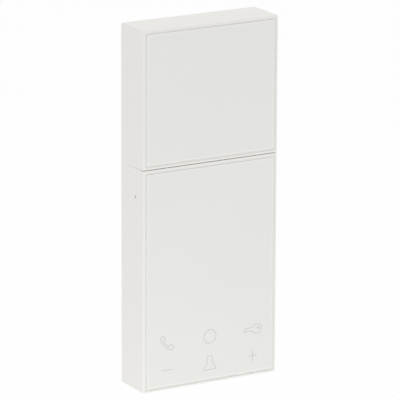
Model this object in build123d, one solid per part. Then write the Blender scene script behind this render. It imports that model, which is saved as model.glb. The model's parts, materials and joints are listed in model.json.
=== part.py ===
"""A hands-free indoor intercom station that hangs on a wall plate.

The frame: +X is to the right as seen from the room, +Y goes into the wall and +Z is up. The origin is
on the wall, midway between the two screws of the wall box. "Distance" always means the distance from
the wall towards the room, so the wall is at 0 and the front of the station at its depth. Levels are
heights above the origin.
"""

import os
from math import cos, degrees, pi, sin

from build123d import *

# The whole station
width = 83.0
height = 200.0
depth = 24.2
side_wall = 2.0
front_wall = 2.2
corner_radius = 1.0
front_edge_radius = 0.8
rear_edge_radius = 0.4
wall_gap = 0.2

# The two panels in the front and the sound slit between them
upper_front_height = 75.8
slit_height = 0.4
slit_run_back = 14.6
slit_side_cut = 0.25
slit_lead_in = 0.1
lip = 2.2
groove = 0.05
seam_width = 1.0
seam_depth = 0.5
panel_thickness = 1.6
tape_thickness = 0.2
tape_width = 5.0
tape_set_back = 0.4
panel_corner = 0.8
panel_edge_radius = 0.45

# The touch keys: symbols inlaid in the lower panel, a light film behind them and wells in the wall
key_row_high = 26.3
key_row_low = 11.3
key_side_inset = 14.5
symbol_stroke = 0.45
symbol_depth = 0.3
handset_reach = 3.8
handset_lift = 0.35
handset_bow = 7.6
handset_band = 1.6
handset_sag = 1.2
handset_ear = (2.9, 3.2)
handset_ear_corner = 0.95
handset_ear_tilt = 22
handset_tilt = 47
ring_radius = 4.0
key_bow = (5.8, 5.6)
key_bow_centre = 2.65
key_bow_corner = 2.2
key_dot_radius = 0.75
key_dot_place = (3.5, 0.5)
key_blade_tip = -5.5
key_blade_half = 1.25
key_notch = -2.8
key_notch_depth = 0.6
key_notch_half = 1.1
minus_width = 7.0
bell_top = 4.1
bell_foot = -4.0
bell_neck = -0.5
bell_shoulder_drop = 1.1
bell_shoulder_set_in = 0.6
bell_shoulder_radius = 1.0
bell_handle_half = 1.9
bell_handle_corner = 0.8
bell_mouth_half = 4.1
plus_width = 5.8
plus_height = 7.0
film_thickness = 0.3
film_margin = 2.5
well_width = 11.4
well_height = 11.0
well_corner = 1.5

# The boards
board_gap = 0.5
touch_board_thickness = 1.0
touch_board_side_gap = 2.5
touch_board_above_bottom = 3.5
touch_board_below_slit = 12.0
main_board_thickness = 1.6
main_board_above_bottom = 36.0
main_board_above_contacts = 3.4
tall_part_gap = 1.0
board_boss_radius = 2.8
board_boss_side = 3.5
board_boss_end = 6.0
board_boss_below_slit = 6.0
side_part_inset = 12.9
stake_radius = 1.0
stake_head_radius = 1.7
stake_head = 0.7
stake_side = 14.5
stake_above_bottom = 40.0
stake_end = 4.0

# Screws
screw_radius = 1.25
thread_clearance = 0.05
pan_head_radius = 2.4
pan_head_height = 1.3
screw_bite = 5.0
drive_slot = 0.6
drive_slot_depth = 0.6
countersunk_head_radius = 2.4
countersunk_head_height = 1.2
cover_screw_length = 8.0
cover_boss_radius = 3.2
cover_boss_set_in = 2.9

# The rear cover and the ledge that it rests on
cover_distance = 4.2
cover_thickness = 1.8
cover_gap = 0.2
ledge_width = 1.0
ledge_depth = 1.6
window_width = 34.0
window_low = -15.0
window_above_terminals = 3.0
window_corner = 2.0

# The wall plate and its hooks
plate_thickness = 1.6
plate_gap = 0.5
plate_rim_width = 1.2
plate_rim_height = 1.6
plate_corner = 2.0
plate_opening_margin = 2.0
box_screw_spacing = 60.0
box_slot_length = 9.0
wall_hole_end = 17.0
wall_hole_radius = 2.2
hook_column = 24.0
hook_end = 40.0
hook_width = 8.0
hook_stem = 2.0
hook_lip_height = 5.0
hook_lip_thickness = 1.5
hook_gap = 0.2
hook_slot_gap = 0.5

# The loudspeaker, which sits behind the upper panel and sounds through the slit
speaker_radius = 20.0
speaker_land = 3.0
speaker_flange = 0.8
gasket_thickness = 0.6
speaker_fit = 0.2
speaker_ring_wall = 1.2
sound_channel_depth = 1.2
basket_skin = 0.7
basket_windows = 4
basket_window_length = 9.0
basket_window_width = 3.6
yoke_wall = 0.9
yoke_floor = 1.0
magnet_height = 1.2
pole_radius = 6.2
pole_height = 1.2
pole_overhang = 0.2
motor_depth = 5.4
coil_gap = 0.25
coil_clearance = 0.3
former_wall = 0.15
winding_thickness = 0.25
winding_length = 1.8
cone_skin = 0.3
cone_rim_width = 0.8
cone_drop = 2.9
cap_skin = 0.2
cap_overlap = 0.8
cap_rise = 1.9
surround_skin = 0.2
surround_roll = 0.9
diaphragm_travel = 0.5
glue_gap = 0.05
speaker_boss_radius = 2.2
speaker_screw_lip = 0.9
speaker_screw_bite = 2.8
strip_width = 14.0
strip_height = 5.0
strip_thickness = 1.0
strip_overlap = 0.8
contact_column = 4.0
barrel_radius = 1.0
contact_tip_radius = 0.6
contact_tip_length = 1.8

# The service switch behind the pinhole in the left side
service_below_slit = 15.8
pinhole_radius = 0.75
pinhole_sink_radius = 0.95
pinhole_sink_depth = 0.2
switch_size = 7.2
switch_length = 4.0
switch_wall_gap = 2.6
button_radius = 0.8
button_clearance = 0.05
button_reach = 1.8
button_hidden = 0.4
button_travel = 0.3

# The microphone, which listens through the bottom
microphone_radius = 2.0
microphone_height = 1.5
boot_wall = 0.8
boot_floor = 0.8
boot_lip = 0.5
sound_hole_radius = 0.75
cradle_clearance = 0.05
cradle_wall = 0.8
cradle_height = 2.4
lead_size = 0.4
lead_pitch = 1.9
lead_rise = 2.0

# The screw terminals on the back of the main board
terminal_count = 4
terminal_pitch = 5.08
terminal_low = 4.0
terminal_length = 10.0
terminal_end_wall = 0.4
terminal_gap = 0.4
cage_floor = 0.4
cage_length = 4.0
cage_side = 0.5
cage_top = 0.8
cage_bottom = 0.6
cage_clearance = 0.2
cage_travel = 2.0
wire_gap_open = 2.6
contact_bar = 0.5
contact_bar_overhang = 1.6
bar_clearance = 0.1
bar_side_clearance = 0.2
tip_clearance = 0.05
clamp_screw_radius = 1.25
clamp_screw_room = 0.15
clamp_head_radius = 2.0
clamp_head_height = 0.9
clamp_head_clearance = 0.1

# Parts on the boards
led_width = 3.0
led_height = 1.4
led_thickness = 0.8
header_pins_across = 5
header_pin_pitch = 2.54
header_pin_size = 0.64
header_body_height = 1.5
header_level = -30.0
socket_floor = 0.6
pin_clearance = 0.05
chip_stand_off = 0.1
chip_thickness = 1.4
chip_lead_thickness = 0.15
chip_lead_width = 0.3
chip_lead_reach = 1.0
chip_lead_end = 0.5
controller_place = (-12.0, -10.0)
controller_size = (10.0, 10.0)
controller_lead_pitch = 0.8
amplifier_place = (10.0, 12.0)
amplifier_size = (5.0, 4.0)
touch_chip_place = (0.0, -40.0)
touch_chip_size = (6.4, 4.4)
small_chip_lead_pitch = 1.27
bridge_level = 22.0
bridge_size = (8.0, 6.4)
bridge_thickness = 2.6
bridge_lead_pitch = 5.08
capacitor_level_low = -34.0
capacitor_level_high = 20.0
capacitor_pitch = 8.0
capacitor_radius = 3.1
capacitor_base_margin = 0.2
capacitor_base_thickness = 0.8
choke_level = 6.0
choke_core_radius = 2.2
choke_flange = 0.9
choke_flange_overhang = 0.4
choke_winding_thickness = 2.3
choke_winding_gap = 0.1

# Places that follow from the sizes above
right = width / 2
left = -right
top = height / 2
bottom = -top
inside_width = width - 2 * side_wall
inside_height = height - 2 * side_wall
inside_corner = side_wall / 2
slit_top = top - upper_front_height
slit_bottom = slit_top - slit_height
upper_field = (slit_top, top)
lower_field = (bottom, slit_bottom)
key_column = right - key_side_inset
panel_back = depth - panel_thickness
recess_floor = panel_back - tape_thickness
wall_back = recess_floor - front_wall
sound_floor = recess_floor - sound_channel_depth
touch_board_back = wall_back - touch_board_thickness
touch_board_half = inside_width / 2 - touch_board_side_gap
touch_board_levels = (bottom + touch_board_above_bottom, slit_bottom - touch_board_below_slit)
cover_front = cover_distance + cover_thickness

# The loudspeaker's rings, from its flange inwards and from its magnet outwards
speaker_level = (slit_top + top) / 2
speaker_opening = speaker_radius - speaker_land
sound_channel_width = 2 * speaker_opening
cone_rim_radius = speaker_opening - speaker_fit - 2 * surround_roll
former_radius = pole_radius + coil_gap
coil_radius = former_radius + former_wall + winding_thickness
yoke_radius = coil_radius + coil_gap + yoke_wall
flange_front = wall_back - gasket_thickness
flange_back = flange_front - speaker_flange
contact_level = speaker_level - speaker_radius + strip_overlap - strip_height / 2

# The terminals; a height is counted from the main board's back towards the wall
cage_inside = 2 * (clamp_screw_radius + clamp_screw_room)
cage_width = cage_inside + 2 * cage_side
contact_bar_width = cage_inside - 2 * bar_side_clearance
bar_height = cage_floor + cage_bottom + wire_gap_open
cage_top_height = bar_height + contact_bar + bar_clearance
cage_height = cage_top_height + cage_top - cage_floor
head_height = cage_floor + cage_height + cage_travel + bar_clearance
terminal_height = head_height + clamp_head_height
terminal_middle = terminal_low + terminal_length / 2
window_high = terminal_low + terminal_length + window_above_terminals

# The main board lies as far from the wall as the terminals need, and its sides clear the switch
main_board_distance = plate_thickness + terminal_gap + terminal_height
main_board_front = main_board_distance + main_board_thickness
main_board_half = inside_width / 2 - switch_wall_gap - switch_length - board_gap
main_board_levels = (bottom + main_board_above_bottom, contact_level + main_board_above_contacts)
tall_part_height = touch_board_back - main_board_front - tall_part_gap
side_part_column = main_board_half - side_part_inset
header_place = (side_part_column, header_level)
bridge_place = (-side_part_column, bridge_level)
choke_place = (-side_part_column, choke_level)
capacitor_places = (
    (-side_part_column, capacitor_level_low),
    (-side_part_column + capacitor_pitch, capacitor_level_low),
    (side_part_column, capacitor_level_high),
)

# The service switch and the microphone lie against the back of the touch board
service_distance = touch_board_back - switch_size / 2
service_level = slit_bottom - service_below_slit
boot_radius = microphone_radius + boot_wall
cradle_radius = boot_radius + cradle_clearance + cradle_wall
microphone_distance = touch_board_back - board_gap - cradle_radius


def plate(outline, start, thickness):
    """A flat outline, drawn as seen from the room, made solid from this distance towards the room."""
    return extrude(Plane.XZ.offset(start) * outline, amount=thickness)


def block(across, distances, levels):
    """A box between two places across, two distances from the wall and two levels."""
    middle = Pos((across[0] + across[1]) / 2, (levels[0] + levels[1]) / 2)
    outline = middle * Rectangle(across[1] - across[0], levels[1] - levels[0])
    return plate(outline, distances[0], distances[1] - distances[0])


def turned(outline, place):
    """A half outline of (radius, distance) points turned about a line square to the wall."""
    half = make_face(Polyline(*[(radius, -distance) for radius, distance in outline], close=True))
    return Pos(place[0], 0, place[1]) * revolve(half, Axis.Y)


def disc(place, radius, start, thickness):
    """A round slab whose axis is square to the wall."""
    return plate(Pos(*place) * Circle(radius), start, thickness)


def ring(place, radius, bore, start, thickness):
    """A flat ring whose axis is square to the wall."""
    return plate(Pos(*place) * (Circle(radius) - Circle(bore)), start, thickness)


def field(levels, inset, radius):
    """A rounded rectangle as wide as the station between two levels, drawn in all round."""
    middle = (levels[0] + levels[1]) / 2
    tall = levels[1] - levels[0] - 2 * inset
    return Pos(0, middle) * RectangleRounded(width - 2 * inset, tall, radius)


def group(pieces):
    """Separate pieces of one kind, kept as separate solids."""
    return Compound(children=[solid for piece in pieces for solid in piece.solids()])


def upright(place, radius, start, length):
    """A round bar that stands up from this level; its place is across and distance."""
    bar = Cylinder(radius, length, align=(Align.CENTER, Align.CENTER, Align.MIN))
    return Pos(place[0], -place[1], start) * bar


def crosswise(place, radius, start, length):
    """A round bar from left to right; its place is distance and level."""
    bar = Cylinder(radius, length, align=(Align.CENTER, Align.CENTER, Align.MIN))
    return Pos(start, -place[0], place[1]) * Rot(0, 90, 0) * bar


# Places that several pieces share


def cover_screw_places():
    column = right - side_wall - cover_boss_set_in
    row = top - side_wall - cover_boss_set_in
    return [(x, z) for x in (-column, column) for z in (-row, row)]


def board_screw_places():
    column = main_board_half - board_boss_side
    rows = (main_board_levels[0] + board_boss_end, slit_bottom - board_boss_below_slit)
    return [(x, z) for x in (-column, column) for z in rows]


def stake_places():
    column = touch_board_half - stake_side
    rows = (bottom + stake_above_bottom, touch_board_levels[1] - stake_end)
    return [(x, z) for x in (-column, column) for z in rows]


def speaker_screw_places():
    angles = [pi / 2 + turn * 2 * pi / 3 for turn in range(3)]
    reach = speaker_radius + speaker_fit + speaker_boss_radius
    return [(reach * cos(a), speaker_level + reach * sin(a)) for a in angles]


def contact_places():
    return [(-contact_column, contact_level), (contact_column, contact_level)]


def key_places():
    """The six keys, from left to right: the high row and then the low row."""
    columns = (-key_column, 0.0, key_column)
    return [(x, bottom + z) for z in (key_row_high, key_row_low) for x in columns]


def service_spot():
    """The line of the service button, as a distance and a level."""
    return (service_distance, service_level)


def hook_places():
    row = top - hook_end
    return [(x, z) for x in (-hook_column, hook_column) for z in (-row, row)]


# Front housing and what is stuck into its face


def panel_recess(levels):
    """The recess that a panel is set into, with a wide shallow seam round its mouth."""
    pocket = plate(field(levels, lip, panel_corner + groove), recess_floor, depth - recess_floor)
    return pocket + plate(field(levels, lip - seam_width, panel_corner), depth - seam_depth, seam_depth)


def slit_cut():
    """The slit across the front, with eased edges, and the two shallow lines that it runs on into."""
    cut = block((left, right), (sound_floor, depth), (slit_bottom, slit_top))
    eased = [
        (-depth - slit_lead_in, slit_bottom - 2 * slit_lead_in),
        (-depth + slit_lead_in, slit_bottom),
        (-depth + slit_lead_in, slit_top),
        (-depth - slit_lead_in, slit_top + 2 * slit_lead_in),
    ]
    wedge = extrude(Plane.YZ * make_face(Polyline(*eased, close=True)), amount=right, both=True)
    cut += wedge
    for side in (left, right - slit_side_cut):
        across = (side, side + slit_side_cut)
        cut += block(across, (depth - slit_run_back, depth), (slit_bottom, slit_top))
    return cut


def sound_channel():
    """The shallow way from the loudspeaker's opening down to the slit, under the panel's lip."""
    half = sound_channel_width / 2
    channel = block((-half, half), (sound_floor, recess_floor), (slit_bottom, speaker_level))
    place = (0, speaker_level)
    return channel + disc(place, speaker_opening, wall_back, front_wall)


def film_outline(gap):
    """The light film's outline: all six wells and a margin, drawn in by a gap."""
    middle = bottom + (key_row_high + key_row_low) / 2
    wide = 2 * key_column + well_width + 2 * film_margin
    tall = key_row_high - key_row_low + well_height + 2 * film_margin
    return Pos(0, middle) * RectangleRounded(wide - 2 * gap, tall - 2 * gap, well_corner)


def housing_bosses():
    """The pillars for the cover's screws, the boards' screws, the loudspeaker's screws and the stakes."""
    solid = None
    for place in cover_screw_places():
        boss = disc(place, cover_boss_radius, cover_front, wall_back - cover_front)
        solid = boss if solid is None else solid + boss
    for place in board_screw_places():
        solid += disc(place, board_boss_radius, main_board_front, wall_back - main_board_front)
    for place in speaker_screw_places():
        solid += disc(place, speaker_boss_radius, flange_back, wall_back - flange_back)
    for place in stake_places():
        solid += disc(place, stake_radius, touch_board_back, touch_board_thickness)
        solid += disc(place, stake_head_radius, touch_board_back - stake_head, stake_head)
    return solid


def boss_bores():
    """The blind holes that the screws bite into."""
    bore = screw_radius + thread_clearance
    cuts = None
    for place in cover_screw_places():
        hole = disc(place, bore, cover_front, cover_screw_length)
        cuts = hole if cuts is None else cuts + hole
    for place in board_screw_places():
        cuts += disc(place, bore, main_board_front, screw_bite + board_gap)
    for place in speaker_screw_places():
        cuts += disc(place, bore, flange_back, speaker_screw_bite)
    return cuts


def front_housing():
    shell = plate(RectangleRounded(width, height, corner_radius), wall_gap, depth - wall_gap)
    shell = fillet(shell.faces().sort_by(Axis.Y)[0].edges(), front_edge_radius)
    shell = fillet(shell.faces().sort_by(Axis.Y)[-1].edges(), rear_edge_radius)
    hollow = RectangleRounded(inside_width, inside_height, inside_corner)
    shell -= plate(hollow, wall_gap, wall_back - wall_gap)
    seat = hollow - RectangleRounded(
        inside_width - 2 * ledge_width, inside_height - 2 * ledge_width, inside_corner
    )
    shell += plate(seat, cover_front, ledge_depth)
    for levels in (upper_field, lower_field):
        shell -= panel_recess(levels)
    shell += housing_bosses()
    shell += ring(
        (0, speaker_level),
        speaker_radius + speaker_fit + speaker_ring_wall,
        speaker_radius + speaker_fit,
        flange_back + speaker_fit,
        wall_back - flange_back - speaker_fit,
    )
    shell += microphone_cradle()
    shell -= boss_bores()
    shell -= slit_cut()
    shell -= sound_channel()
    shell -= plate(film_outline(0), recess_floor - film_thickness, film_thickness)
    for place in key_places():
        well = Pos(*place) * RectangleRounded(well_width, well_height, well_corner)
        shell -= plate(well, wall_back, front_wall)
    shell -= crosswise(service_spot(), pinhole_radius, left, side_wall)
    sink = Pos(left, -service_distance, service_level) * Rot(0, 90, 0) * Cone(
        pinhole_sink_radius,
        pinhole_radius,
        pinhole_sink_depth,
        align=(Align.CENTER, Align.CENTER, Align.MIN),
    )
    shell -= sink
    shell -= upright((0, microphone_distance), sound_hole_radius, bottom, side_wall)
    return shell


def panel(levels):
    """A front panel, flush with the housing's rim, its face rounded off at the edges."""
    slab = plate(field(levels, lip + groove, panel_corner), panel_back, panel_thickness)
    return fillet(slab.faces().sort_by(Axis.Y)[0].edges(), panel_edge_radius)


def upper_panel():
    return panel(upper_field)


def lower_panel():
    return panel(lower_field) - key_symbols()


def tape(levels):
    """An adhesive frame just inside a panel's edge."""
    outside = lip + groove + tape_set_back
    outline = field(levels, outside, panel_corner)
    outline -= field(levels, outside + tape_width, panel_corner)
    return plate(outline, recess_floor, tape_thickness)


def upper_panel_tape():
    """The upper frame, which leaves the sound channel open at its foot."""
    half = sound_channel_width / 2
    foot = (slit_top, slit_top + lip + groove + tape_set_back + tape_width)
    gap = block((-half, half), (recess_floor, panel_back), foot)
    return tape(upper_field) - gap


def lower_panel_tape():
    return tape(lower_field)


def key_diffuser_film():
    return plate(film_outline(cover_gap), recess_floor - film_thickness, film_thickness)


# Key symbols


def outlined(shape):
    """The line round a flat shape."""
    return shape - offset(shape, amount=-symbol_stroke)


def handset_symbol():
    """A telephone receiver, its hollow side towards the upper right."""
    half = handset_band / 2
    arc = Circle(handset_bow + half) - Circle(handset_bow - half)
    arc = Pos(0, handset_bow - handset_sag) * arc
    shape = arc & Rectangle(2 * handset_reach, handset_bow)
    for side in (-1, 1):
        ear = RectangleRounded(*handset_ear, handset_ear_corner)
        shape += Pos(side * handset_reach, handset_lift) * Rot(0, 0, side * handset_ear_tilt) * ear
    return Rot(0, 0, -handset_tilt) * outlined(shape)


def ring_symbol():
    return Circle(ring_radius) - Circle(ring_radius - symbol_stroke)


def key_symbol():
    """A door key that points left, with a dot for the hole in its bow."""
    bow = Pos(key_bow_centre, 0) * RectangleRounded(*key_bow, key_bow_corner)
    half = key_blade_half
    blade = [
        (key_blade_tip, half - symbol_stroke),
        (key_blade_tip + symbol_stroke, half),
        (key_bow_centre, half),
        (key_bow_centre, -half),
        (key_notch + key_notch_half, -half),
        (key_notch, key_notch_depth - half),
        (key_notch - key_notch_half, -half),
        (key_blade_tip, -half),
    ]
    shape = bow + make_face(Polyline(*blade, close=True))
    return outlined(shape) + Pos(*key_dot_place) * Circle(key_dot_radius)


def minus_symbol():
    return Rectangle(minus_width, symbol_stroke)


def plus_symbol():
    return Rectangle(plus_width, symbol_stroke) + Rectangle(symbol_stroke, plus_height)


def bell_symbol():
    """A hand bell that stands on its mouth."""
    right_side = [
        (bell_handle_half, bell_neck),
        (bell_mouth_half - bell_shoulder_set_in, bell_neck - bell_shoulder_drop),
        (bell_mouth_half, bell_foot),
    ]
    points = right_side + [(-x, z) for x, z in reversed(right_side)]
    skirt = make_face(Polyline(*points, close=True))
    skirt = fillet(skirt.vertices().sort_by(Axis.Y)[2:4], bell_shoulder_radius)
    handle_foot = bell_neck - bell_handle_corner
    handle = RectangleRounded(2 * bell_handle_half, bell_top - handle_foot, bell_handle_corner)
    return outlined(skirt + Pos(0, (bell_top + handle_foot) / 2) * handle)


def key_symbols():
    """Thin inlays, flush with the lower panel's face."""
    drawings = [
        handset_symbol(),
        ring_symbol(),
        key_symbol(),
        minus_symbol(),
        bell_symbol(),
        plus_symbol(),
    ]
    inlays = []
    for place, drawing in zip(key_places(), drawings):
        inlays.append(plate(Pos(*place) * drawing, depth - symbol_depth, symbol_depth))
    return group(inlays)


# Screws


def pan_screw(place, seat, bite, head_radius=pan_head_radius):
    """A pan head screw whose head lies behind its seat and whose shank points to the room."""
    outline = [
        (0, seat - pan_head_height),
        (head_radius - pan_head_height / 2, seat - pan_head_height),
        (head_radius, seat - pan_head_height / 2),
        (head_radius, seat),
        (screw_radius, seat),
        (screw_radius, seat + bite),
        (0, seat + bite),
    ]
    return turned(outline, place) - cross_recess(place, seat - pan_head_height)


def cross_recess(place, head_end):
    """The cross for a driver, cut in from the head's end."""
    reach = pan_head_radius / 2
    distances = (head_end, head_end + drive_slot_depth)
    half = drive_slot / 2
    x, z = place
    flat = block((x - reach, x + reach), distances, (z - half, z + half))
    return flat + block((x - half, x + half), distances, (z - reach, z + reach))


def countersunk_outline(slack):
    """Half the outline of the rear cover's screws or, with some slack, of the holes for them."""
    head_front = cover_distance + countersunk_head_height
    end = cover_front + cover_screw_length - board_gap
    return [
        (0, cover_distance),
        (countersunk_head_radius + slack, cover_distance),
        (screw_radius + slack, head_front),
        (screw_radius + slack, end),
        (0, end),
    ]


def rear_cover_screws():
    screws = []
    for place in cover_screw_places():
        screw = turned(countersunk_outline(0), place)
        screws.append(screw - cross_recess(place, cover_distance))
    return group(screws)


def board_screws():
    bite = main_board_thickness + screw_bite
    return group([pan_screw(place, main_board_distance, bite) for place in board_screw_places()])


def speaker_screws():
    bite = speaker_screw_bite - glue_gap
    head = speaker_boss_radius + speaker_fit + speaker_screw_lip
    return group([pan_screw(place, flange_back, bite, head) for place in speaker_screw_places()])


# Rear cover and wall plate


def window_outline(margin):
    """The opening for the cable and the terminals, made larger by a margin."""
    middle = (window_low + window_high) / 2
    tall = window_high - window_low + 2 * margin
    return Pos(0, middle) * RectangleRounded(window_width + 2 * margin, tall, window_corner)


def rear_cover():
    wide = inside_width - 2 * cover_gap
    tall = inside_height - 2 * cover_gap
    cover = plate(RectangleRounded(wide, tall, inside_corner), cover_distance, cover_thickness)
    cover -= plate(window_outline(0), cover_distance, cover_thickness)
    for place in cover_screw_places():
        cover -= turned(countersunk_outline(thread_clearance), place)
    slot_height = hook_stem + hook_lip_height + 2 * hook_slot_gap
    for x, z in hook_places():
        slot = Pos(x, z - slot_height / 2) * Rectangle(hook_width + 2 * hook_slot_gap, slot_height)
        cover -= plate(slot, cover_distance, cover_thickness)
    return cover


def hook(place):
    """A stem that the rear cover's slot rests on, and a lip that stands up in front of the cover."""
    x, z = place
    lip_back = cover_front + hook_gap
    across = (x - hook_width / 2, x + hook_width / 2)
    tip = lip_back + hook_lip_thickness
    stem = block(across, (plate_thickness, tip), (z - hook_stem, z))
    return stem + block(across, (lip_back, tip), (z, z + hook_lip_height))


def wall_plate():
    """The plate that is screwed to the wall; it is short at its foot so that the station can lift."""
    lift = hook_lip_height + hook_slot_gap
    low = bottom + side_wall + lift + plate_gap
    high = top - side_wall - plate_gap
    wide = inside_width - 2 * plate_gap
    middle = Pos(0, (low + high) / 2)
    outline = middle * RectangleRounded(wide, high - low, plate_corner)
    inner = middle * RectangleRounded(
        wide - 2 * plate_rim_width, high - low - 2 * plate_rim_width, plate_corner / 2
    )
    body = plate(outline, 0, plate_thickness)
    body += plate(outline - inner, plate_thickness, plate_rim_height)
    body -= plate(window_outline(plate_opening_margin), 0, plate_thickness)
    for z in (-box_screw_spacing / 2, box_screw_spacing / 2):
        slot = Pos(0, z) * SlotOverall(box_slot_length, 2 * wall_hole_radius, rotation=90)
        body -= plate(slot, 0, plate_thickness)
    for z in (low + wall_hole_end, -low - wall_hole_end):
        body -= disc((0, z), wall_hole_radius, 0, plate_thickness)
    for x, z in hook_places():
        behind = Pos(x, z + hook_lip_height / 2) * Rectangle(hook_width, hook_lip_height)
        body -= plate(behind, 0, plate_thickness)
        body += hook((x, z))
    return body


# Touch board and what it carries


def touch_board():
    across = (-touch_board_half, touch_board_half)
    board = block(across, (touch_board_back, wall_back), touch_board_levels)
    for place in cover_screw_places():
        hole = cover_boss_radius + board_gap
        board -= disc(place, hole, touch_board_back, touch_board_thickness)
    for place in board_screw_places():
        hole = board_boss_radius + board_gap
        board -= disc(place, hole, touch_board_back, touch_board_thickness)
    for place in stake_places():
        hole = stake_radius + thread_clearance
        board -= disc(place, hole, touch_board_back, touch_board_thickness)
    return board


def key_lights():
    lamps = []
    for x, z in key_places():
        across = (x - led_width / 2, x + led_width / 2)
        levels = (z - led_height / 2, z + led_height / 2)
        lamps.append(block(across, (wall_back, wall_back + led_thickness), levels))
    return group(lamps)


def chip_body(place, size, face, towards, thickness):
    """A chip's moulded body, a little off the board face that it stands on."""
    x, z = place
    near = face + towards * chip_stand_off
    far = near + towards * thickness
    across = (x - size[0] / 2, x + size[0] / 2)
    levels = (z - size[1] / 2, z + size[1] / 2)
    return block(across, (min(near, far), max(near, far)), levels)


def chip_lead_row(place, size, face, towards, pitch, thickness, turn):
    """The bent leads along one side of a chip; turn picks the side, in degrees."""
    leads = []
    length, across = size if turn % 180 == 90 else reversed(size)
    half = across / 2
    count = int((length - 2 * chip_lead_end) / pitch) + 1
    middle = chip_stand_off + thickness / 2
    knee = chip_lead_reach / 2
    profile = [
        (0, middle),
        (knee, middle),
        (knee, chip_lead_thickness),
        (chip_lead_reach, chip_lead_thickness),
        (chip_lead_reach, 0),
        (knee - chip_lead_thickness, 0),
        (knee - chip_lead_thickness, middle - chip_lead_thickness),
        (0, middle - chip_lead_thickness),
    ]
    for number in range(count):
        along = (number - (count - 1) / 2) * pitch
        points = [(half + out, -(face + towards * up)) for out, up in profile]
        outline = Plane.YX * make_face(Polyline(*[(y, x) for x, y in points], close=True))
        lead = extrude(outline, amount=chip_lead_width / 2, both=True)
        leads.append(Pos(place[0], 0, place[1]) * Rot(0, turn, 0) * Pos(0, 0, along) * lead)
    return leads


def microcontroller():
    return chip_body(controller_place, controller_size, main_board_front, 1, chip_thickness)


def audio_amplifier():
    return chip_body(amplifier_place, amplifier_size, main_board_front, 1, chip_thickness)


def touch_controller():
    return chip_body(touch_chip_place, touch_chip_size, touch_board_back, -1, chip_thickness)


def bridge_rectifier():
    return chip_body(bridge_place, bridge_size, main_board_front, 1, bridge_thickness)


def chip_leads():
    leads = []
    for turn in (0, 90, 180, 270):
        leads += chip_lead_row(
            controller_place,
            controller_size,
            main_board_front,
            1,
            controller_lead_pitch,
            chip_thickness,
            turn,
        )
    small = (small_chip_lead_pitch, chip_thickness)
    for turn in (90, 270):
        leads += chip_lead_row(amplifier_place, amplifier_size, main_board_front, 1, *small, turn)
        leads += chip_lead_row(touch_chip_place, touch_chip_size, touch_board_back, -1, *small, turn)
    for turn in (0, 180):
        pair = (bridge_lead_pitch, bridge_thickness)
        leads += chip_lead_row(bridge_place, bridge_size, main_board_front, 1, *pair, turn)
    return group(leads)


def header_outline():
    long = header_pins_across * header_pin_pitch
    return Pos(*header_place) * Rectangle(long, 2 * header_pin_pitch)


def header_pins(slack=0.0):
    """Two rows of square pins from the touch board into the socket on the main board."""
    side = header_pin_size + 2 * slack
    start = main_board_front + socket_floor
    pins = []
    for column in range(header_pins_across):
        for row in (-0.5, 0.5):
            x = header_place[0] + (column - (header_pins_across - 1) / 2) * header_pin_pitch
            z = header_place[1] + row * header_pin_pitch
            outline = Pos(x, z) * Rectangle(side, side)
            pins.append(plate(outline, start - slack, touch_board_back - start + slack))
    return group(pins)


def board_header():
    body = plate(header_outline(), touch_board_back - header_body_height, header_body_height)
    return body - header_pins(pin_clearance)


def board_socket():
    tall = touch_board_back - header_body_height - main_board_front
    return plate(header_outline(), main_board_front, tall) - header_pins(pin_clearance)


# Service switch


def service_switch_body():
    """A side-pressed switch on the back of the touch board."""
    distance, level = service_spot()
    start = left + side_wall + switch_wall_gap
    levels = (level - switch_size / 2, level + switch_size / 2)
    body = block((start, start + switch_length), (distance - switch_size / 2, touch_board_back), levels)
    bore = button_hidden + 2 * button_travel
    return body - crosswise(service_spot(), button_radius + button_clearance, start, bore)


def service_button():
    start = left + side_wall + switch_wall_gap - button_reach
    return crosswise(service_spot(), button_radius, start, button_reach + button_hidden)


# Microphone


def microphone_cradle():
    """A round rib on the housing's floor that holds the microphone's boot."""
    spot = (0, microphone_distance)
    floor = bottom + side_wall
    cup = upright(spot, cradle_radius, floor, cradle_height)
    return cup - upright(spot, cradle_radius - cradle_wall, floor, cradle_height)


def microphone_boot():
    spot = (0, microphone_distance)
    floor = bottom + side_wall
    tall = boot_floor + microphone_height + boot_lip
    boot = upright(spot, boot_radius, floor, tall)
    boot -= upright(spot, microphone_radius, floor + boot_floor, tall)
    return boot - upright(spot, sound_hole_radius, floor, boot_floor)


def microphone_capsule():
    floor = bottom + side_wall + boot_floor
    return upright((0, microphone_distance), microphone_radius, floor, microphone_height)


def microphone_leads():
    """Two leads, up from the capsule and forward to the touch board."""
    start = bottom + side_wall + boot_floor + microphone_height
    half = lead_size / 2
    leads = []
    for x in (-lead_pitch / 2, lead_pitch / 2):
        across = (x - half, x + half)
        distances = (microphone_distance - half, microphone_distance + half)
        rise = block(across, distances, (start, start + lead_rise))
        reach = (microphone_distance - half, touch_board_back)
        leads.append(rise + block(across, reach, (start + lead_rise - lead_size, start + lead_rise)))
    return group(leads)


# Main board and what it carries


def main_board():
    distances = (main_board_distance, main_board_front)
    board = block((-main_board_half, main_board_half), distances, main_board_levels)
    for place in board_screw_places():
        hole = screw_radius + thread_clearance
        board -= disc(place, hole, main_board_distance, main_board_thickness)
    return board


def electrolytic_capacitors():
    start = main_board_front + capacitor_base_thickness
    length = tall_part_height - capacitor_base_thickness
    cans = []
    for place in capacitor_places:
        body = disc(place, capacitor_radius, start, length)
        cans.append(fillet(body.edges().sort_by(Axis.Y)[0], capacitor_radius / 6))
    return group(cans)


def capacitor_bases():
    side = 2 * (capacitor_radius + capacitor_base_margin)
    outline = Rectangle(side, side)
    thickness = capacitor_base_thickness
    return group([plate(Pos(*place) * outline, main_board_front, thickness) for place in capacitor_places])


def choke_winding_radius():
    return choke_core_radius + choke_winding_gap + choke_winding_thickness


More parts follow.
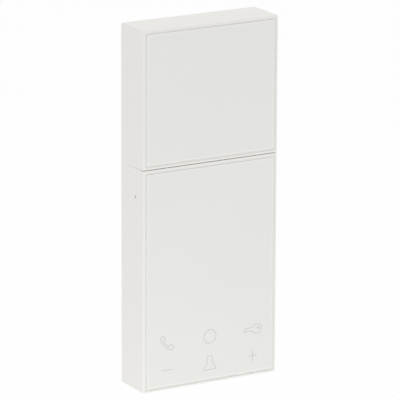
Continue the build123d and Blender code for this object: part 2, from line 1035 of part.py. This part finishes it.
def choke_core():
    """A drum core: two flanges on a round post."""
    near = main_board_front
    far = near + tall_part_height
    rim = choke_winding_radius() + choke_flange_overhang
    outline = [
        (0, near),
        (rim, near),
        (rim, near + choke_flange),
        (choke_core_radius, near + choke_flange),
        (choke_core_radius, far - choke_flange),
        (rim, far - choke_flange),
        (rim, far),
        (0, far),
    ]
    return turned(outline, choke_place)


def choke_winding():
    start = main_board_front + choke_flange + choke_winding_gap
    length = tall_part_height - 2 * (choke_flange + choke_winding_gap)
    bore = choke_core_radius + choke_winding_gap
    return ring(choke_place, choke_winding_radius(), bore, start, length)


# Screw terminals


def terminal_columns():
    first = -(terminal_count - 1) / 2 * terminal_pitch
    return [first + number * terminal_pitch for number in range(terminal_count)]


def from_board(low, high):
    """Two heights above the main board's back, as distances from the wall."""
    return (main_board_distance - high, main_board_distance - low)


def cage_levels(slack):
    half = cage_length / 2 + slack
    return (terminal_middle - half, terminal_middle + half)


def terminal_contact(x):
    """The fixed bar that a wire is pressed against, and its leg down to the board."""
    across = (x - contact_bar_width / 2, x + contact_bar_width / 2)
    far = terminal_middle + cage_length / 2 + contact_bar_overhang
    near = terminal_middle - cage_length / 2
    bar = block(across, from_board(bar_height, bar_height + contact_bar), (near, far))
    return bar + block(across, from_board(0, bar_height), (far - contact_bar, far))


def terminal_contacts():
    return group([terminal_contact(x) for x in terminal_columns()])


def terminal_block():
    half = terminal_count * terminal_pitch / 2 + terminal_end_wall
    levels = (terminal_low, terminal_low + terminal_length)
    body = block((-half, half), from_board(0, terminal_height), levels)
    for x in terminal_columns():
        inside = cage_width / 2 + cage_clearance
        room = from_board(cage_floor - cage_clearance, head_height)
        body -= block((x - inside, x + inside), room, cage_levels(cage_clearance))
        entry = cage_inside / 2
        gap = from_board(cage_floor + cage_bottom, bar_height)
        body -= block((x - entry, x + entry), gap, (terminal_low, terminal_middle))
        head = clamp_head_radius + clamp_head_clearance
        distance = from_board(head_height, terminal_height)[0]
        body -= disc((x, terminal_middle), head, distance, clamp_head_height)
        body -= terminal_contact(x)
    return body


def terminal_cage(x):
    """A square ring that climbs its screw and lifts the wire against the bar."""
    outside = (x - cage_width / 2, x + cage_width / 2)
    cage = block(outside, from_board(cage_floor, cage_floor + cage_height), cage_levels(0))
    inside = (x - cage_inside / 2, x + cage_inside / 2)
    cage -= block(inside, from_board(cage_floor + cage_bottom, cage_top_height), cage_levels(0))
    bore = clamp_screw_radius + thread_clearance
    return cage - disc((x, terminal_middle), bore, *cage_top_span())


def cage_top_span():
    """Where the cage's top plate starts, as a distance, and its thickness."""
    return (main_board_distance - cage_top_height - cage_top, cage_top)


def terminal_screw(x):
    """A slotted screw that turns in place, its tip on the contact bar."""
    end = main_board_distance - terminal_height
    seat = end + clamp_head_height
    tip = main_board_distance - bar_height - contact_bar - tip_clearance
    outline = [
        (0, end),
        (clamp_head_radius, end),
        (clamp_head_radius, seat),
        (clamp_screw_radius, seat),
        (clamp_screw_radius, tip),
        (0, tip),
    ]
    half = drive_slot / 2
    levels = (terminal_middle - clamp_head_radius, terminal_middle + clamp_head_radius)
    slot = block((x - half, x + half), (end, end + drive_slot_depth), levels)
    return turned(outline, (x, terminal_middle)) - slot


# Loudspeaker; its face is towards the room


def speaker_place():
    return (0, speaker_level)


def speaker_gasket():
    outside = speaker_radius - speaker_fit
    bore = speaker_opening + speaker_fit
    return ring(speaker_place(), outside, bore, flange_front, gasket_thickness)


def cone_rim():
    """The distance of the front of the cone's flat rim."""
    return flange_front


def neck_front():
    """The distance of the front of the cone's neck."""
    return cone_rim() - cone_drop + cone_skin


def yoke_front():
    """The distance of the front of the magnet's cup, level with the pole plate."""
    return flange_front - motor_depth


def yoke_height():
    return yoke_floor + magnet_height + pole_height


def speaker_basket():
    """A flange and a windowed bowl that hold the magnet's cup."""
    inner = yoke_radius + glue_gap
    bowl_front = yoke_front()
    bowl_back = bowl_front - basket_skin
    shoulder = cone_rim_radius + diaphragm_travel
    knee = flange_front - 2.5
    outline = [
        (speaker_radius, flange_front),
        (shoulder + 1.1, flange_front),
        (shoulder + 0.3, knee),
        (inner + 0.8, bowl_front),
        (inner, bowl_front),
        (inner, bowl_back),
        (inner + 1.0, bowl_back),
        (shoulder + 0.3 + basket_skin, knee - basket_skin),
        (shoulder + 1.1 + basket_skin, flange_back),
        (speaker_radius, flange_back),
    ]
    basket = turned(outline, speaker_place())
    x, z = speaker_place()
    window_reach = (inner + shoulder) / 2 + 1.0
    for number in range(basket_windows):
        angle = (number + 0.5) * 2 * pi / basket_windows
        place = (x + window_reach * cos(angle), z + window_reach * sin(angle))
        outline = RectangleRounded(
            basket_window_width, basket_window_length, basket_window_width / 3
        )
        window = Pos(*place) * Rot(0, 0, degrees(angle)) * outline
        basket -= plate(window, bowl_back, flange_back - bowl_back)
    return basket


def speaker_surround():
    """A soft half roll between the cone's rim and the flange, with a flat lip at each edge."""
    inner = cone_rim_radius
    outer = speaker_opening + speaker_fit - glue_gap
    base = flange_front
    outline = [
        (inner - cone_rim_width + glue_gap, base),
        (inner, base),
    ]
    steps = 6
    middle = inner + surround_roll
    hollow = surround_roll - surround_skin
    for step in range(steps + 1):
        angle = pi - step * pi / steps
        outline.append((middle + hollow * cos(angle), base + hollow * sin(angle)))
    outline.append((outer, base))
    outline.append((outer, base + surround_skin))
    for step in range(1, steps):
        angle = step * pi / steps
        outline.append((middle + surround_roll * cos(angle), base + surround_roll * sin(angle)))
    outline.append((inner - cone_rim_width + glue_gap, base + surround_skin))
    return turned(outline, speaker_place())


def speaker_cone():
    neck = former_radius + former_wall + glue_gap
    rim = cone_rim()
    front = neck_front()
    inner_rim = cone_rim_radius - cone_rim_width
    outline = [
        (neck, front - cone_skin),
        (neck, front),
        (inner_rim, rim),
        (cone_rim_radius, rim),
        (cone_rim_radius, rim - cone_skin),
        (inner_rim + cone_skin / 2, rim - cone_skin),
    ]
    return turned(outline, speaker_place())


def speaker_dust_cap():
    """A shallow dome over the coil, glued to the cone."""
    neck = former_radius + former_wall
    reach = neck + cap_overlap
    slope = cone_drop / (cone_rim_radius - cone_rim_width - neck)
    base = neck_front() + slope * cap_overlap + glue_gap
    outline = []
    steps = 8
    for step in range(steps + 1):
        angle = step * pi / 2 / steps
        outline.append((reach * cos(angle), base + cap_rise * sin(angle)))
    for step in range(steps, -1, -1):
        angle = step * pi / 2 / steps
        outline.append(((reach - cap_skin) * cos(angle), base + (cap_rise - cap_skin) * sin(angle)))
    return turned(outline, speaker_place())


def voice_coil_former():
    start = yoke_front() - yoke_height() + yoke_floor + diaphragm_travel + coil_clearance
    length = neck_front() - start
    return ring(speaker_place(), former_radius + former_wall, former_radius, start, length)


def voice_coil_winding():
    bore = former_radius + former_wall
    middle = yoke_front() - pole_height / 2 + 2 * cap_skin
    start = middle - winding_length / 2
    return ring(speaker_place(), coil_radius, bore, start, winding_length)


def speaker_yoke():
    """The steel cup round the magnet."""
    back = yoke_front() - yoke_height()
    cup = disc(speaker_place(), yoke_radius, back, yoke_height())
    return cup - disc(speaker_place(), yoke_radius - yoke_wall, back + yoke_floor, yoke_height())


def speaker_magnet():
    start = yoke_front() - magnet_height - pole_height
    return disc(speaker_place(), pole_radius - pole_overhang, start, magnet_height)


def speaker_pole_plate():
    start = yoke_front() - pole_height
    return disc(speaker_place(), pole_radius, start, pole_height)


def speaker_terminal_strip():
    """A strip behind the flange's lowest edge that the spring contacts press on."""
    levels = (contact_level - strip_height / 2, contact_level + strip_height / 2)
    half = strip_width / 2
    return block((-half, half), (flange_back - strip_thickness, flange_back), levels)


def contact_length():
    return flange_back - strip_thickness - main_board_front


def contact_barrels():
    length = contact_length() - contact_tip_length
    return group([disc(place, barrel_radius, main_board_front, length) for place in contact_places()])


def contact_tips():
    start = main_board_front + contact_length() - contact_tip_length
    pins = []
    for place in contact_places():
        pins.append(disc(place, contact_tip_radius, start, contact_tip_length))
    return group(pins)


def main():
    makers = [
        front_housing,
        upper_panel,
        upper_panel_tape,
        lower_panel,
        lower_panel_tape,
        key_symbols,
        key_diffuser_film,
        rear_cover,
        rear_cover_screws,
        wall_plate,
        touch_board,
        key_lights,
        touch_controller,
        service_switch_body,
        service_button,
        board_header,
        header_pins,
        board_socket,
        main_board,
        board_screws,
        microcontroller,
        audio_amplifier,
        bridge_rectifier,
        chip_leads,
        electrolytic_capacitors,
        capacitor_bases,
        choke_core,
        choke_winding,
        terminal_block,
        terminal_contacts,
        speaker_gasket,
        speaker_basket,
        speaker_surround,
        speaker_cone,
        speaker_dust_cap,
        voice_coil_former,
        voice_coil_winding,
        speaker_yoke,
        speaker_magnet,
        speaker_pole_plate,
        speaker_terminal_strip,
        speaker_screws,
        contact_barrels,
        contact_tips,
        microphone_capsule,
        microphone_boot,
        microphone_leads,
    ]
    pieces = {maker.__name__: maker() for maker in makers}
    for number, x in enumerate(terminal_columns(), start=1):
        pieces[f"terminal_screw_{number}"] = terminal_screw(x)
        pieces[f"terminal_cage_{number}"] = terminal_cage(x)
    os.makedirs("parts", exist_ok=True)
    for name, piece in pieces.items():
        export_step(piece, f"parts/{name}.step")
        print(name, len(piece.solids()))


main()
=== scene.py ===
"""The looks of a hands-free intercom station on its wall plate, in a plain white studio."""

import json
from math import cos, radians, sin
from typing import NamedTuple

import bpy
from mathutils import Matrix, Vector


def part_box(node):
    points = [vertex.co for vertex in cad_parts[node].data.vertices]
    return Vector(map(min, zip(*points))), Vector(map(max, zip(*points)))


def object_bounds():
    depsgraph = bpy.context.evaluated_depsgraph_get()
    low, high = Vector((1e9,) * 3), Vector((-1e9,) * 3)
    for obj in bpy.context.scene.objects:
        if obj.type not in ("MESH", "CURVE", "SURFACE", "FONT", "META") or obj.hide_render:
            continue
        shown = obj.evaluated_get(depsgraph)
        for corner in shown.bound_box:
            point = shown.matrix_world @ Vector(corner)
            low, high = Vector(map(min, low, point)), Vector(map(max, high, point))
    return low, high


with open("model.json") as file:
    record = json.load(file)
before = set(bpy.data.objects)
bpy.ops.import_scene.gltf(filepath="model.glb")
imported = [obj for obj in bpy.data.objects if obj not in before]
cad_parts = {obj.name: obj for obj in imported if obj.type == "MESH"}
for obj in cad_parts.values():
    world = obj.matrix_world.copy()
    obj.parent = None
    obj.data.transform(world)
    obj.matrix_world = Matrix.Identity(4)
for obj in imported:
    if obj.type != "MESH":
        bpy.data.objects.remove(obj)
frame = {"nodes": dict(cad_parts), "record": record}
cad_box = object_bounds()

MM = 0.001

# The camera of the photograph, worked out from the station's outline there
IMAGE_SIDE = 400
CAMERA_TURN = -30.09
CAMERA_RAISE = 15.17
CAMERA_ROLL = -0.222
CAMERA_DISTANCE = 2142 * MM
FOCAL_PIXELS = 3973.0
SENSOR_WIDTH = 36.0
VIEW_OFFSET = (-0.40 * MM, 0.05 * MM)
FARTHEST_SEEN = 100.0

# How strongly the plastics bend light
MOULDED_IOR = 1.5
PRESSED_IOR = 1.49
RUBBER_IOR = 1.45

# The part of its span that soft noise mostly fills, and the whole of it
NOISE_SPAN = (0.3, 0.7)
WHOLE_SPAN = (0.0, 1.0)

# The grain that moulded pieces share: its size and its height
MOULD_GRAIN = 0.35 * MM
FINE_RELIEF = 0.008 * MM

# Moulded plastics, painted steel and tape. All colours are as they are seen, in steps of 255.
# Colour, change of shade, least and most roughness, size of the grain
MOULDED = {
    "housing_white": ((235, 234, 231), 0.006, (0.42, 0.5), MOULD_GRAIN),
    "cover_white": ((222, 222, 217), 0.012, (0.5, 0.6), MOULD_GRAIN),
    "plate_white": ((226, 226, 221), 0.012, (0.48, 0.58), MOULD_GRAIN),
    "tape_white": ((225, 225, 220), 0.03, (0.6, 0.75), 0.8 * MM),
    "chip_black": ((38, 38, 40), 0.1, (0.45, 0.6), 0.2 * MM),
    "connector_black": ((30, 30, 31), 0.1, (0.4, 0.5), 0.3 * MM),
    "terminal_green": ((44, 122, 66), 0.05, (0.38, 0.48), MOULD_GRAIN),
    "basket_steel": ((42, 42, 44), 0.06, (0.35, 0.5), 0.5 * MM),
    "strip_brown": ((110, 74, 40), 0.08, (0.55, 0.7), 0.6 * MM),
    "button_dark": ((36, 36, 37), 0.1, (0.4, 0.5), MOULD_GRAIN),
}

# Smooth films: colour, change of shade, least and most roughness
FILMS = {
    "film_clear": ((236, 236, 234), 0.01, (0.3, 0.4)),
    "former_film": ((176, 126, 58), 0.05, (0.3, 0.4)),
}

# Metals: colour, least and most roughness, size of the scratches
METALS = {
    "tinned": ((205, 205, 203), (0.25, 0.4), 0.3 * MM),
    "gilt": ((222, 184, 104), (0.18, 0.3), 0.2 * MM),
    "screw_steel": ((190, 192, 196), (0.22, 0.36), 0.25 * MM),
    "clamp_steel": ((184, 184, 182), (0.3, 0.42), 0.3 * MM),
    "can_aluminium": ((208, 209, 211), (0.28, 0.4), 0.15 * MM),
    "yoke_steel": ((176, 178, 182), (0.28, 0.4), 0.3 * MM),
    "magnet_plated": ((196, 197, 200), (0.12, 0.2), 0.4 * MM),
}

# Ferrite, foam, rubber and pressed paper: colour, least and most roughness, size and height of the grain
PITTED = {
    "ferrite": ((52, 52, 54), (0.45, 0.6), 0.25 * MM, FINE_RELIEF),
    "foam_black": ((34, 34, 34), (0.8, 0.95), 0.4 * MM, 0.1 * MM),
    "rubber_black": ((30, 30, 30), (0.55, 0.7), 0.3 * MM, FINE_RELIEF),
    "cone_paper": ((44, 43, 42), (0.75, 0.9), 0.5 * MM, 0.03 * MM),
}

# The front panels, and a painted highlight: a lighter margin along the edges of each
PANELS = ("upper_panel", "lower_panel")
PANEL_WHITE = (230, 230, 228)
EDGE_HIGHLIGHT_WHITE = (236, 236, 234)
EDGE_HIGHLIGHT_WIDTH = 0.8 * MM

# Other single colours
SYMBOL_GREY = (201, 201, 199)
LAMP_YELLOW = (246, 232, 150)
WIRE_COPPER = (186, 98, 52)

# The circuit boards: tracks under green lacquer, and bright pads
BOARD_GREEN = (12, 78, 48)
TRACK_GREEN = (34, 118, 70)
PAD_SILVER = (206, 204, 196)
TRACK_RUN = 15.3 * MM
TRACK_PITCH = 0.99 * MM
TRACK_WIDTH = 0.162 * MM
TRACK_SHIFT = 0.37
TRACK_SOFTNESS = 0.2
PAD_SPACING = 3 * MM
PAD_RADIUS = 0.45 * MM

# The sky and the floor of the studio
SKY_COLOUR = (1.0, 0.995, 0.985)
SKY_STRENGTH = 0.84
FLOOR_DROP = 260 * MM
FLOOR_SIDE = 6000 * MM
FLOOR_SHADES = ((0.97, 0.97, 0.97), (1.0, 1.0, 1.0))
FLOOR_ROUGHNESS = (0.85, 0.95)
FLOOR_MOTTLING = 400 * MM
FLOOR_GRAIN = 50 * MM
FLOOR_GLOW = 0.92


class SoftBox(NamedTuple):
    """A square studio light: its place and side in metres, and its power in watts."""

    name: str
    place: tuple
    side: float
    power: float


SOFT_BOXES = (
    SoftBox("key", place=(-0.9, -1.1, 0.9), side=0.9, power=0.6),
    SoftBox("overhead", place=(0.2, -0.2, 1.4), side=1.2, power=2.1),
    SoftBox("low", place=(-0.12, -0.28, -0.33), side=0.24, power=0.39),
    SoftBox("side", place=(-0.3, -0.04, -0.28), side=0.15, power=0.075),
)


def middle(box):
    return (Vector(box[0]) + Vector(box[1])) / 2


def aim_camera():
    """A long lens at the photograph's angle, so that the station fills the frame as it does there."""
    turn, raise_, roll = (radians(angle) for angle in (CAMERA_TURN, CAMERA_RAISE, CAMERA_ROLL))
    back = Vector((sin(turn) * cos(raise_), -cos(turn) * cos(raise_), sin(raise_)))
    side = Vector((cos(turn), sin(turn), 0))
    up = back.cross(side)
    aim = middle(cad_box) - side * VIEW_OFFSET[0] - up * VIEW_OFFSET[1]
    turned_side = side * cos(roll) - up * sin(roll)
    turned_up = up * cos(roll) + side * sin(roll)
    data = bpy.data.cameras.new("camera")
    data.sensor_width = SENSOR_WIDTH
    data.lens = FOCAL_PIXELS / IMAGE_SIDE * SENSOR_WIDTH
    data.clip_end = FARTHEST_SEEN
    camera = bpy.data.objects.new("camera", data)
    axes = Matrix((turned_side, turned_up, back)).transposed()
    camera.matrix_world = Matrix.Translation(aim + back * CAMERA_DISTANCE) @ axes.to_4x4()
    bpy.context.scene.collection.objects.link(camera)
    bpy.context.scene.camera = camera


# Node helpers


class Shader:
    """A material under construction: a Principled shader and short ways to feed it."""

    def __init__(self, name):
        self.material = bpy.data.materials.new(name)
        self.material.use_nodes = True
        self.nodes = self.material.node_tree.nodes
        self.links = self.material.node_tree.links
        self.surface = self.nodes["Principled BSDF"]
        self.place = self.nodes.new("ShaderNodeTexCoord").outputs["Object"]

    def set(self, **values):
        """Sets the surface's own sockets; an underscore stands for a space in a socket's name."""
        for name, value in values.items():
            self.surface.inputs[name.replace("_", " ")].default_value = value

    def link(self, start, end):
        self.links.new(start, end)

    def math(self, kind, first, second):
        node = self.nodes.new("ShaderNodeMath")
        node.operation = kind
        for socket, value in zip(node.inputs, (first, second)):
            if isinstance(value, (int, float)):
                socket.default_value = value
            else:
                self.link(value, socket)
        return node.outputs[0]

    def inside(self, value, low, high):
        """How far a value is inside its two limits, less than nothing outside them."""
        above = self.math("SUBTRACT", value, low)
        return self.math("MINIMUM", above, self.math("SUBTRACT", high, value))

    def mapped(self, **values):
        """The place on the object, scaled along each axis or turned about it."""
        node = self.nodes.new("ShaderNodeMapping")
        for name, value in values.items():
            node.inputs[name].default_value = value
        self.link(self.place, node.inputs["Vector"])
        return node.outputs[0]

    def noise(self, size, detail, place=None, roughness=0.5):
        """Soft random mottling with blotches of about this size in metres."""
        node = self.nodes.new("ShaderNodeTexNoise")
        node.inputs["Scale"].default_value = 1 / size
        node.inputs["Detail"].default_value = detail
        node.inputs["Roughness"].default_value = roughness
        self.link(place or self.place, node.inputs["Vector"])
        return node.outputs["Fac"]

    def cells(self, size):
        """How far it is to the middle of the nearest of many random cells, as a share of their size."""
        node = self.nodes.new("ShaderNodeTexVoronoi")
        node.inputs["Scale"].default_value = 1 / size
        self.link(self.place, node.inputs["Vector"])
        return node.outputs["Distance"]

    def colours(self, value, first, second, span=NOISE_SPAN):
        """Feeds the base colour with a blend of two colours."""
        ramp = self.nodes.new("ShaderNodeValToRGB")
        for element, position, colour in zip(ramp.color_ramp.elements, span, (first, second)):
            element.position = position
            element.color = (*colour, 1)
        self.link(value, ramp.inputs["Fac"])
        self.link(ramp.outputs["Color"], self.surface.inputs["Base Color"])

    def colour_below(self, value, limit, colour):
        """Lays another colour over the base colour wherever the value is under the limit."""
        mix = self.nodes.new("ShaderNodeMixRGB")
        base = self.surface.inputs["Base Color"]
        self.link(self.math("LESS_THAN", value, limit), mix.inputs["Fac"])
        self.link(base.links[0].from_socket, mix.inputs["Color1"])
        mix.inputs["Color2"].default_value = (*colour, 1)
        self.link(mix.outputs["Color"], base)

    def rough(self, value, limits):
        """Feeds the roughness with a value, brought to between its two limits."""
        node = self.nodes.new("ShaderNodeMapRange")
        node.inputs["From Min"].default_value, node.inputs["From Max"].default_value = NOISE_SPAN
        node.inputs["To Min"].default_value, node.inputs["To Max"].default_value = limits
        self.link(value, node.inputs["Value"])
        self.link(node.outputs["Result"], self.surface.inputs["Roughness"])

    def bump(self, value, height):
        """Raises the surface by up to this height in metres."""
        node = self.nodes.new("ShaderNodeBump")
        node.inputs["Distance"].default_value = height
        self.link(value, node.inputs["Height"])
        self.link(node.outputs["Normal"], self.surface.inputs["Normal"])


def linear(red, green, blue):
    """A colour as it is seen, in steps of 255, as light values, by the curve that screens share."""

    def channel(value):
        value /= 255
        return value / 12.92 if value <= 0.04045 else ((value + 0.055) / 1.055) ** 2.4

    return tuple(channel(value) for value in (red, green, blue))


def shades(colour, change):
    """A colour a little darker and a little lighter."""
    light = linear(*colour)
    return tuple(c * (1 - change) for c in light), tuple(min(1.0, c * (1 + change)) for c in light)


# Materials, one short function for each kind


def moulded(name, colour, change, roughness, grain):
    """Moulded plastic with an eroded grain and faint flow shades."""
    flow_size = 30 * MM
    patch_size = 1.5 * MM
    shader = Shader(name)
    shader.set(IOR=MOULDED_IOR)
    shader.colours(shader.noise(flow_size, detail=3), *shades(colour, change))
    shader.rough(shader.noise(patch_size, detail=4), roughness)
    shader.bump(shader.noise(grain, detail=3, roughness=0.65), FINE_RELIEF)
    return shader


def pressed(name, colour, change, roughness):
    """Smooth pressed plastic, with the faint waves and wiped smears of a hand-cleaned surface."""
    shade_size = 45 * MM
    smear_size = 9 * MM
    wave_size = 12 * MM
    wave_height = 0.01 * MM
    shader = Shader(name)
    shader.set(IOR=PRESSED_IOR)
    shader.colours(shader.noise(shade_size, detail=2), *shades(colour, change))
    upright = shader.mapped(Scale=(1.0, 1.0, 0.35))
    shader.rough(shader.noise(smear_size, detail=5, place=upright, roughness=0.6), roughness)
    shader.bump(shader.noise(wave_size, detail=1), wave_height)
    return shader


def front_panel(name):
    """Pressed plastic for the front panels, with a painted highlight: a lighter margin along their thin
    rounded edges.
    """
    shader = pressed(name, PANEL_WHITE, change=0.004, roughness=(0.2, 0.27))
    axes = shader.nodes.new("ShaderNodeSeparateXYZ")
    shader.link(shader.place, axes.inputs[0])
    highlight_margins = []
    for panel in PANELS:
        low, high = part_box(panel)
        across = shader.inside(axes.outputs["X"], low[0], high[0])
        up = shader.inside(axes.outputs["Z"], low[2], high[2])
        highlight_margins.append(shader.math("MINIMUM", across, up))
    # Painted highlight: the panel colour turns lighter within a narrow margin of each panel's edges
    shader.colour_below(shader.math("MAXIMUM", *highlight_margins), EDGE_HIGHLIGHT_WIDTH, linear(*EDGE_HIGHLIGHT_WHITE))
    return shader


def symbol_ink(name):
    """Matt grey print under the panel's surface, with a fine screen grain."""
    screen_size = 0.12 * MM
    patch_size = 2 * MM
    grain_size = 0.15 * MM
    grain_height = 0.002 * MM
    shader = Shader(name)
    shader.set(IOR=PRESSED_IOR)
    shader.colours(shader.cells(screen_size), *shades(SYMBOL_GREY, change=0.04), span=(0.1, 0.6))
    shader.rough(shader.noise(patch_size, detail=3), limits=(0.3, 0.38))
    shader.bump(shader.noise(grain_size, detail=2), grain_height)
    return shader


def metal(name, colour, roughness, scratch):
    """Plated or drawn metal with fine scratches along one way."""
    shade_size = 2 * MM
    scratch_height = 0.003 * MM
    shader = Shader(name)
    shader.set(Metallic=1.0)
    shader.colours(shader.noise(shade_size, detail=4), *shades(colour, change=0.08))
    scratches = shader.noise(scratch, detail=4, place=shader.mapped(Scale=(1.0, 1.0, 0.08)))
    shader.rough(scratches, roughness)
    shader.bump(scratches, scratch_height)
    return shader


def board_tracks(shader):
    """A wall of long flat bricks, stood upright: the joints between the bricks are the tracks."""
    brick_unit = 9 * MM
    tracks = shader.nodes.new("ShaderNodeTexBrick")
    tracks.offset = TRACK_SHIFT
    tracks.inputs["Scale"].default_value = 1 / brick_unit
    tracks.inputs["Brick Width"].default_value = TRACK_RUN / brick_unit
    tracks.inputs["Row Height"].default_value = TRACK_PITCH / brick_unit
    tracks.inputs["Mortar Size"].default_value = TRACK_WIDTH / brick_unit
    tracks.inputs["Mortar Smooth"].default_value = TRACK_SOFTNESS
    upright = shader.mapped(Rotation=(radians(90), 0, radians(90)))
    shader.link(upright, tracks.inputs["Vector"])
    return tracks.outputs["Fac"]


def circuit_board(name):
    """Green lacquer over copper: lighter where a track runs underneath, with bright pads."""
    patch_size = 3 * MM
    weave_size = 0.5 * MM
    relief = 0.02 * MM
    shader = Shader(name)
    shader.set(IOR=MOULDED_IOR, Coat_Weight=0.4, Coat_Roughness=0.12)
    tracks = board_tracks(shader)
    shader.colours(tracks, linear(*BOARD_GREEN), linear(*TRACK_GREEN), span=WHOLE_SPAN)
    shader.colour_below(shader.cells(PAD_SPACING), PAD_RADIUS / PAD_SPACING, linear(*PAD_SILVER))
    shader.rough(shader.noise(patch_size, detail=3), limits=(0.28, 0.4))
    shader.bump(shader.math("ADD", tracks, shader.noise(weave_size, detail=2)), relief)
    return shader


def pitted(name, colour, roughness, grain, height):
    """Foam, rubber, ferrite or pressed paper: dark, dull and pitted."""
    patch_size = 2 * MM
    shader = Shader(name)
    shader.set(IOR=RUBBER_IOR)
    pits = shader.cells(grain)
    shader.colours(pits, *shades(colour, change=0.25), span=(0.1, 0.7))
    shader.rough(shader.noise(patch_size, detail=3), roughness)
    shader.bump(pits, height)
    return shader


def wound_wire(name):
    """Enamelled wire, laid turn beside turn, about three turns to the wave texture's unit."""
    wave_unit = 2.5 * MM
    patch_size = 1 * MM
    turn_height = 0.05 * MM
    shader = Shader(name)
    shader.set(Metallic=0.8, Coat_Weight=0.6, Coat_Roughness=0.1)
    wires = shader.nodes.new("ShaderNodeTexWave")
    wires.bands_direction = "Y"
    wires.inputs["Scale"].default_value = 1 / wave_unit
    wires.inputs["Distortion"].default_value = 0.3
    shader.link(shader.place, wires.inputs["Vector"])
    shader.colours(wires.outputs["Fac"], *shades(WIRE_COPPER, change=0.3), span=WHOLE_SPAN)
    shader.rough(shader.noise(patch_size, detail=2), limits=(0.25, 0.35))
    shader.bump(wires.outputs["Fac"], turn_height)
    return shader


def lamp_resin(name):
    """Clear resin over yellow phosphor."""
    cloud_size = 0.6 * MM
    patch_size = 1 * MM
    shader = Shader(name)
    shader.set(IOR=MOULDED_IOR, Subsurface_Weight=0.3, Subsurface_Scale=0.5 * MM)
    shader.colours(shader.noise(cloud_size, detail=2), *shades(LAMP_YELLOW, change=0.08))
    shader.rough(shader.noise(patch_size, detail=2), limits=(0.15, 0.25))
    return shader


def make_materials():
    """The material for each of the record's slots."""
    singles = {
        "panel_white": front_panel,
        "symbol_grey": symbol_ink,
        "circuit_board": circuit_board,
        "lamp": lamp_resin,
        "copper_wire": wound_wire,
    }
    tables = {moulded: MOULDED, pressed: FILMS, metal: METALS, pitted: PITTED}
    materials = {slot: make(slot).material for slot, make in singles.items()}
    for make, rows in tables.items():
        for slot, values in rows.items():
            materials[slot] = make(slot, *values).material
    return materials


def dress_nodes():
    """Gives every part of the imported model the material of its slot."""
    materials = make_materials()
    for row in frame["record"]["subparts"]:
        part = frame["nodes"][row["node"]]
        for slot in part.material_slots:
            slot.material = materials[row["material_slot"]]


# The studio


def larger(nodes, links, first, second):
    node = nodes.new("ShaderNodeMath")
    node.operation = "MAXIMUM"
    links.new(first, node.inputs[0])
    links.new(second, node.inputs[1])
    return node.outputs[0]


def white_to_camera(nodes, links, plain, white):
    """Mixes a plain light with a pure white that the camera, mirrors and glass see."""
    rays = nodes.new("ShaderNodeLightPath").outputs
    sharp = larger(nodes, links, rays["Is Glossy Ray"], rays["Is Transmission Ray"])
    mix = nodes.new("ShaderNodeMixShader")
    links.new(larger(nodes, links, rays["Is Camera Ray"], sharp), mix.inputs[0])
    links.new(plain, mix.inputs[1])
    links.new(white, mix.inputs[2])
    return mix.outputs[0]


def make_sky():
    """A soft, slightly warm light from all round, which the camera sees as white."""
    world = bpy.data.worlds.new("sky")
    world.use_nodes = True
    nodes, links = world.node_tree.nodes, world.node_tree.links
    plain = nodes["Background"]
    plain.inputs["Color"].default_value = (*SKY_COLOUR, 1)
    plain.inputs["Strength"].default_value = SKY_STRENGTH
    white = nodes.new("ShaderNodeBackground")
    white.inputs["Color"].default_value = (1, 1, 1, 1)
    white.inputs["Strength"].default_value = 1
    shown = white_to_camera(nodes, links, plain.outputs[0], white.outputs[0])
    links.new(shown, nodes["World Output"].inputs["Surface"])
    bpy.context.scene.world = world


def make_floor():
    """A wide pale floor below the station, which hangs above it as it would on a wall."""
    low = cad_box[0][2] - FLOOR_DROP
    half = FLOOR_SIDE / 2
    corners = [(-half, -half, low), (half, -half, low), (half, half, low), (-half, half, low)]
    mesh = bpy.data.meshes.new("floor")
    mesh.from_pydata(corners, [], [(0, 1, 2, 3)])
    floor = bpy.data.objects.new("floor", mesh)
    bpy.context.scene.collection.objects.link(floor)
    shader = Shader("floor")
    shader.colours(shader.noise(FLOOR_MOTTLING, detail=2), *FLOOR_SHADES)
    shader.rough(shader.noise(FLOOR_GRAIN, detail=2), FLOOR_ROUGHNESS)
    glow = shader.nodes.new("ShaderNodeEmission")
    plain = shader.surface.outputs[0]
    lifted = shader.nodes.new("ShaderNodeMixShader")
    lifted.inputs[0].default_value = FLOOR_GLOW
    shader.link(plain, lifted.inputs[1])
    shader.link(glow.outputs[0], lifted.inputs[2])
    shown = white_to_camera(shader.nodes, shader.links, plain, lifted.outputs[0])
    shader.link(shown, shader.nodes["Material Output"].inputs["Surface"])
    mesh.materials.append(shader.material)


def add_light(box):
    """Sets up a soft box, aimed at the station and unseen by the camera."""
    data = bpy.data.lights.new(box.name, "AREA")
    data.shape = "SQUARE"
    data.size = box.side
    data.energy = box.power
    light = bpy.data.objects.new(box.name, data)
    light.visible_camera = False
    aim = (middle(cad_box) - Vector(box.place)).to_track_quat("-Z", "Y")
    light.matrix_world = Matrix.Translation(box.place) @ aim.to_matrix().to_4x4()
    bpy.context.scene.collection.objects.link(light)


aim_camera()
dress_nodes()
make_sky()
make_floor()
for box in SOFT_BOXES:
    add_light(box)
bpy.context.scene.view_settings.view_transform = "Standard"
